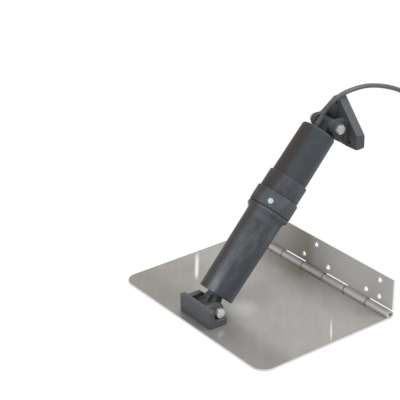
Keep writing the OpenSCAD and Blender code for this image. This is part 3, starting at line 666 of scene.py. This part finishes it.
# %% Geometry Nodes helpers
class Grower:
    """A Geometry Nodes tree with named inputs, grown into an object."""

    def __init__(self, name):
        self.name = name
        self.group = bpy.data.node_groups.new(name, "GeometryNodeTree")
        self.group.interface.new_socket("Geometry", in_out="OUTPUT", socket_type="NodeSocketGeometry")
        self.inlet = self.group.nodes.new("NodeGroupInput")
        self.values = {}

    def input(self, name, kind, value):
        """A named input of the tree, as the output of its inlet."""
        socket = self.group.interface.new_socket(name, in_out="INPUT", socket_type="NodeSocket" + kind)
        self.values[socket.identifier] = value
        return next(out for out in self.inlet.outputs if out.identifier == socket.identifier)

    def node(self, kind, inputs):
        """Adds a node with the values or links of its sockets, and returns its first output."""
        made = self.group.nodes.new(kind)
        for key, value in inputs.items():
            if isinstance(value, bpy.types.NodeSocket):
                self.group.links.new(value, made.inputs[key])
            else:
                made.inputs[key].default_value = value
        return made.outputs[0]

    def grow(self, geometry, place, turn, material):
        """Places the geometry, gives it its material and returns the finished object."""
        move = {"Geometry": geometry, "Translation": self.input("Place", "Vector", place), "Rotation": turn}
        placed = self.node("GeometryNodeTransform", move)
        whole = self.node("GeometryNodeRealizeInstances", {"Geometry": placed})
        paint = {"Geometry": whole, "Material": self.input("Finish", "Material", material)}
        outlet = self.group.nodes.new("NodeGroupOutput")
        self.group.links.new(self.node("GeometryNodeSetMaterial", paint), outlet.inputs[0])
        made = put(self.name, bpy.data.meshes.new(self.name + "_seed"))
        modifier = made.modifiers.new("grow", "NODES")
        modifier.node_group = self.group
        for identifier, value in self.values.items():
            modifier[identifier] = value
        bpy.context.view_layer.update()
        grown = bpy.data.meshes.new_from_object(made.evaluated_get(bpy.context.evaluated_depsgraph_get()))
        made.modifiers.remove(modifier)
        made.data = grown
        return made


def own(piece, body):
    """Lets a piece ride on its body."""
    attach(piece, body)
    return piece


QUARTER = math.radians(90)
print("growers ready")

# %% [markdown]
# ## Ribs of the connector
# The connector's sleeve has ribs so that wet fingers can turn it. They are thin bars on the points of a
# circle, partly sunk in the sleeve. A relief in the finish would be lighter, but it would not show in the
# outline.

# %% Ribs of the connector
RIBS = 28
RIB_R = 0.55 * MM
RIB_LENGTH = 9 * MM
RIB_SIDES = 8
RIB_RING_R = 7.63 * MM
GRIP_MIDDLE = Vector((151.3, 74.0, -26.1)) * MM

ribs = Grower("connector_ribs")
rib_bar = ribs.node("GeometryNodeMeshCylinder", {
    "Vertices": RIB_SIDES,
    "Radius": ribs.input("Rib radius", "Float", RIB_R),
    "Depth": ribs.input("Rib length", "Float", RIB_LENGTH),
})
rib_ring = ribs.node("GeometryNodeMeshCircle", {
    "Vertices": ribs.input("Ribs", "Int", RIBS),
    "Radius": ribs.input("Ring radius", "Float", RIB_RING_R),
})
rib_set = ribs.node("GeometryNodeInstanceOnPoints", {"Points": rib_ring, "Instance": rib_bar})
connector_ribs = ribs.grow(rib_set, GRIP_MIDDLE, (QUARTER, 0, 0), connector_black)
own(connector_ribs, "housing")
print("ribs:", len(connector_ribs.data.polygons), "faces")

# %% [markdown]
# ## Teeth and head of the tie
# The strap round the coil is a cable tie: a toothed band that is pulled through a small square head. The
# teeth are bars on the points of a line. The head is a block with chamfers: the hull of three flat
# blocks, each at full reach along one axis only, gives it in one step and needs no bevel.

# %% Teeth of the tie
COIL_CENTRE_MM = (110, 137)
COIL_MIDDLE = Vector((*COIL_CENTRE_MM, 0)) * MM
TIE_ANGLE = math.radians(-60)
TIE_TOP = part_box("coil_tie")[1].z
TEETH = 13
TOOTH_R = 0.4 * MM
TOOTH_LENGTH = 6 * MM
TOOTH_SIDES = 6
TOOTH_STEP = 1.3 * MM
TOOTH_SUNK = 0.1 * MM
FIRST_TOOTH = 27 * MM

teeth = Grower("tie_teeth")
tooth_bar = teeth.node("GeometryNodeMeshCylinder", {
    "Vertices": TOOTH_SIDES,
    "Radius": teeth.input("Tooth radius", "Float", TOOTH_R),
    "Depth": teeth.input("Tooth length", "Float", TOOTH_LENGTH),
})
tooth_flat = teeth.node("GeometryNodeTransform", {"Geometry": tooth_bar, "Rotation": (QUARTER, 0, 0)})
tooth_line = teeth.node("GeometryNodeMeshLine", {
    "Count": teeth.input("Teeth", "Int", TEETH),
    "Start Location": (FIRST_TOOTH, 0, 0),
    "Offset": (TOOTH_STEP, 0, 0),
})
tooth_set = teeth.node("GeometryNodeInstanceOnPoints", {"Points": tooth_line, "Instance": tooth_flat})
tooth_place = COIL_MIDDLE + Vector((0, 0, TIE_TOP - TOOTH_SUNK))
tie_teeth = teeth.grow(tooth_set, tooth_place, (0, 0, TIE_ANGLE), connector_black)
own(tie_teeth, "housing")
print("tie teeth:", len(tie_teeth.data.polygons), "faces")

# %% Head of the tie
TIE_OUT = Vector((math.cos(TIE_ANGLE), math.sin(TIE_ANGLE), 0))
STRAP_OUTER = 45.45 * MM
HEAD_HALF = Vector((2.2, 4.6, 3.2)) * MM
HEAD_CHAMFER = 0.8 * MM
HEAD_DOWN = 7 * MM

head_shape = bmesh.new()
for flat in range(3):
    reach = [h if axis == flat else h - HEAD_CHAMFER for axis, h in enumerate(HEAD_HALF)]
    for signs in itertools.product((-1, 1), repeat=3):
        head_shape.verts.new([sign * r for sign, r in zip(signs, reach)])
bmesh.ops.convex_hull(head_shape, input=head_shape.verts)
head_middle = COIL_MIDDLE + TIE_OUT * (STRAP_OUTER + HEAD_HALF.x) + Vector((0, 0, TIE_TOP - HEAD_DOWN))
head_place = Matrix.Translation(head_middle) @ Matrix.Rotation(TIE_ANGLE, 4, "Z")
bmesh.ops.transform(head_shape, matrix=head_place, verts=head_shape.verts)
head_mesh = bpy.data.meshes.new("tie_head")
head_shape.to_mesh(head_mesh)
head_shape.free()
head_mesh.materials.append(connector_black)
tie_head = own(put("tie_head", head_mesh), "housing")
print("tie head:", len(head_mesh.polygons), "faces")

# %% [markdown]
# ## Threads of the bolt ends
# Each pivot bolt stands a little out of its nut, and a turn of its thread shows there. A true thread
# would be a cut along the whole bolt, most of it hidden. One ridge swept along a spiral is all that can
# be seen.

# %% Threads of the bolt ends
THREAD_R = 3.95 * MM
THREAD_PITCH = 1.25 * MM
THREAD_TURNS = 1.0
THREAD_STEPS = 24
THREAD_START = 0.15 * MM
RIDGE_R = 0.28 * MM
RIDGE_SIDES = 6


def bolt_thread(bolt, body, steel):
    """Turns of thread on a bolt's free end, which is its lowest along X."""
    low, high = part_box(bolt)
    middle = (low + high) / 2
    tree = Grower(bolt + "_thread")
    spiral = tree.node("GeometryNodeCurveSpiral", {
        "Resolution": THREAD_STEPS,
        "Rotations": tree.input("Turns", "Float", THREAD_TURNS),
        "Height": tree.input("Length", "Float", THREAD_TURNS * THREAD_PITCH),
        "Start Radius": THREAD_R,
        "End Radius": THREAD_R,
    })
    ridge = tree.node("GeometryNodeCurvePrimitiveCircle", {
        "Resolution": RIDGE_SIDES,
        "Radius": tree.input("Ridge", "Float", RIDGE_R),
    })
    turns = tree.node("GeometryNodeCurveToMesh", {"Curve": spiral, "Profile Curve": ridge, "Fill Caps": True})
    start = Vector((low.x + THREAD_START, middle.y, middle.z))
    return own(tree.grow(turns, start, (0, QUARTER, 0), steel), body)


threads = [
    bolt_thread("lower_bolt", "tab", bolt_steel),
    bolt_thread("upper_bolt", "bracket", dull_bolt_steel),
]
print("threads:", [len(thread.data.polygons) for thread in threads])

# %% [markdown]
# ## The cable's route
# The lead leaves the gland along the actuator, bends over the top bracket, and falls to the floor behind
# it. The rest is wound into a neat coil of two layers: the first winds inward, the second lies on it and
# winds back out, so the free end comes off the outside. The free stretches are listed points, and a loop
# works out the turns, because they follow a rule.

# %% Cable route
LEAD_ROUTE_MM = [
    (0, -6.9, 194.8), (0, -3.6, 198.4), (0.5, -0.2, 202.5), (1.5, 2.6, 209.5), (3, 7, 216.5),
    (5, 15, 223.5), (7, 24.5, 229), (8, 35, 232), (8, 49.5, 233), (8, 67, 232.5), (8, 84.5, 229.5),
    (8, 103, 224), (8, 121, 217), (8, 136, 209.5), (8, 150, 199.5), (8, 162, 186.5),
    (8, 170, 172.5), (8, 175, 156.5), (8, 177, 138.5), (8, 178, 120.5), (8, 178, 102.5),
    (8, 178, 84.5), (8, 178, 66.5), (8, 178, 48.5), (8, 178, 30.5), (8.5, 178, 12.5),
    (11, 178, -2.5), (17, 178, -15.5), (27, 178, -25), (40, 178, -29.5), (54, 178, -30.5),
    (68, 178, -30), (82, 178, -30), (96, 178, -30),
]
TAIL_ROUTE_MM = [(151.3, 125, -24), (151.3, 113, -25), (151.3, 101, -25.9), (151.3, 94, -26.1)]
COIL_OUTER_MM = 41.3
LOW_LAYER_MM = -30.15
PITCH_MM = 6.35
IN_TURNS = 2
CLIMB_TURNS = 1
OUT_TURNS = 2.25
STEPS_PER_TURN = 24


def coil_point(turns):
    """Point of the coil after so many turns from where the lead comes in, clockwise from above."""
    inner = COIL_OUTER_MM - PITCH_MM * OUT_TURNS
    climb_from = COIL_OUTER_MM - PITCH_MM * IN_TURNS
    rise = 0.0
    if turns <= IN_TURNS:
        radius = COIL_OUTER_MM - PITCH_MM * turns
    elif turns <= IN_TURNS + CLIMB_TURNS:
        climb = (turns - IN_TURNS) / CLIMB_TURNS
        radius = climb_from + (inner - climb_from) * climb
        rise = PITCH_MM * math.sqrt(1 - (1 - climb) ** 2)
    else:
        radius = inner + PITCH_MM * (turns - IN_TURNS - CLIMB_TURNS)
        rise = PITCH_MM
    angle = QUARTER - 2 * math.pi * turns
    x = COIL_CENTRE_MM[0] + radius * math.cos(angle)
    y = COIL_CENTRE_MM[1] + radius * math.sin(angle)
    return (x, y, LOW_LAYER_MM + rise)


all_turns = IN_TURNS + CLIMB_TURNS + OUT_TURNS
coil_mm = [coil_point(step / STEPS_PER_TURN) for step in range(round(all_turns * STEPS_PER_TURN) + 1)]
cable_points = [Vector(point) * MM for point in LEAD_ROUTE_MM + coil_mm + TAIL_ROUTE_MM]
print("cable points:", len(cable_points), "turns:", all_turns)

# %% [markdown]
# ## The cable
# A cable is one round profile along one line. A mesh tube would have to be built ring by ring, so a
# Bezier curve with a round bevel is used: its automatic handles make every bend smooth, and its length
# can be measured.

# %% Cable
CABLE_D = 6.3 * MM
BEND_STEPS = 4
ROUND_STEPS = 5

cable_curve = bpy.data.curves.new("cable", "CURVE")
cable_curve.dimensions = "3D"
cable_curve.resolution_u = BEND_STEPS
cable_curve.bevel_depth = CABLE_D / 2
cable_curve.bevel_resolution = ROUND_STEPS
cable_curve.use_fill_caps = True
line = cable_curve.splines.new("BEZIER")
line.bezier_points.add(len(cable_points) - 1)
for knot, point in zip(line.bezier_points, cable_points):
    knot.co = point
    knot.handle_left_type = "AUTO"
    knot.handle_right_type = "AUTO"
cable_curve.materials.append(jacket_black)
cable = put("cable", cable_curve)
bpy.context.view_layer.update()
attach(cable, "housing")
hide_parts("cable_lead", "cable_coil", "cable_tail")

# %% [markdown]
# ## Floor
# The photo was cut out on white, with only a trace of shadow. A lit white floor never comes out quite
# white, so this one glows for the camera and still takes a little of the shadow. To all other light it is
# a plain pale floor. It stays dark under the hinge, where it shows through the notches.

# %% Floor
FLOOR_HALF = 3.0
FLOOR_GAP = 0.2 * MM
FLOOR_GLOW = 1.02
SHADOW_SHARE = 0.06
UNDER_HINGE_X = (HALF_SPAN - 2 * MM, HALF_SPAN - MM)
UNDER_HINGE_Y = (-40 * MM, -30 * MM, -MM, 0)


def in_view(formula):
    """1 for what the camera sees straight, in a mirror or through glass, and 0 for other light."""
    straight = formula.node("ShaderNodeLightPath", output="Is Camera Ray")
    mirrored = straight.beside("Is Glossy Ray")
    through = straight.beside("Is Transmission Ray")
    return (straight + mirrored + through).above(0, 1)


floor_z = cad_box[0].z - FLOOR_GAP
floor_mesh = bpy.data.meshes.new("floor")
corner_signs = ((-1, -1), (1, -1), (1, 1), (-1, 1))
corners = [(u * FLOOR_HALF, v * FLOOR_HALF, floor_z) for u, v in corner_signs]
floor_mesh.from_pydata(corners, [], [(0, 1, 2, 3)])
floor = put("floor", floor_mesh)

floor_finish = Finish("white_floor", Roughness=0.9, Base_Color=grey(0.86), Specular_IOR_Level=0.1)
floor_x, floor_y, _ = floor_finish.axes()
under_hinge = floor_x.size().below(*UNDER_HINGE_X) * floor_y.between(*UNDER_HINGE_Y)
whitened = in_view(floor_finish) * (1 - SHADOW_SHARE) * (1 - under_hinge)
lit = Socket(floor_finish, floor_finish.shader.outputs[0])
glow = floor_finish.node("ShaderNodeEmission", None, {"Color": grey(1.0), "Strength": FLOOR_GLOW})
blend = floor_finish.node("ShaderNodeMixShader", None, {0: whitened, 1: lit, 2: glow})
floor_finish.tree.links.new(blend.output, floor_finish.tree.nodes["Material Output"].inputs["Surface"])
floor_mesh.materials.append(floor_finish.material)
print("floor at", round(floor_z, 4))

# %% [markdown]
# ## Lamps and world
# The photo's light is broad and soft, with hardly a highlight. One big lamp would leave the right side
# and the foot dull. So there is a big lamp above, a cool one behind on the right, a small one close to
# the foot, and a pale world that fills the shadows. The world is pure white only where the camera sees
# it.

# %% Lamps and world
MIDDLE = (0.0, -0.08, 0.08)
FOOT = (0, -0.175, 0)
WORLD_LIGHT = 0.6


def soft_lamp(name, place, aim, size, power, colour):
    """A square area lamp at a place, turned to its aim."""
    data = bpy.data.lights.new(name, "AREA")
    data.size = size
    data.energy = power
    data.color = colour
    put(name, data).matrix_world = facing(Vector(place), Vector(aim))


soft_lamp("near_lamp", (-0.038, -0.576, 0.375), FOOT, size=0.16, power=0.6, colour=(1.0, 0.99, 0.97))
soft_lamp("top_lamp", (0.3, 0.1, 1.8), MIDDLE, size=1.2, power=12, colour=(1.0, 0.985, 0.96))
soft_lamp("side_lamp", (1.0, 0.9, 1.25), MIDDLE, size=0.7, power=16, colour=(0.91, 0.965, 1.0))

world = bpy.data.worlds.new("studio")
bpy.context.scene.world = world
world.use_nodes = True
background = world.node_tree.nodes["Background"]
background.inputs["Color"].default_value = grey(1.0)
strength = WORLD_LIGHT + in_view(Formula(world.node_tree)) * (1 - WORLD_LIGHT)
world.node_tree.links.new(strength.output, background.inputs["Strength"])
bpy.context.scene.view_settings.view_transform = "Standard"
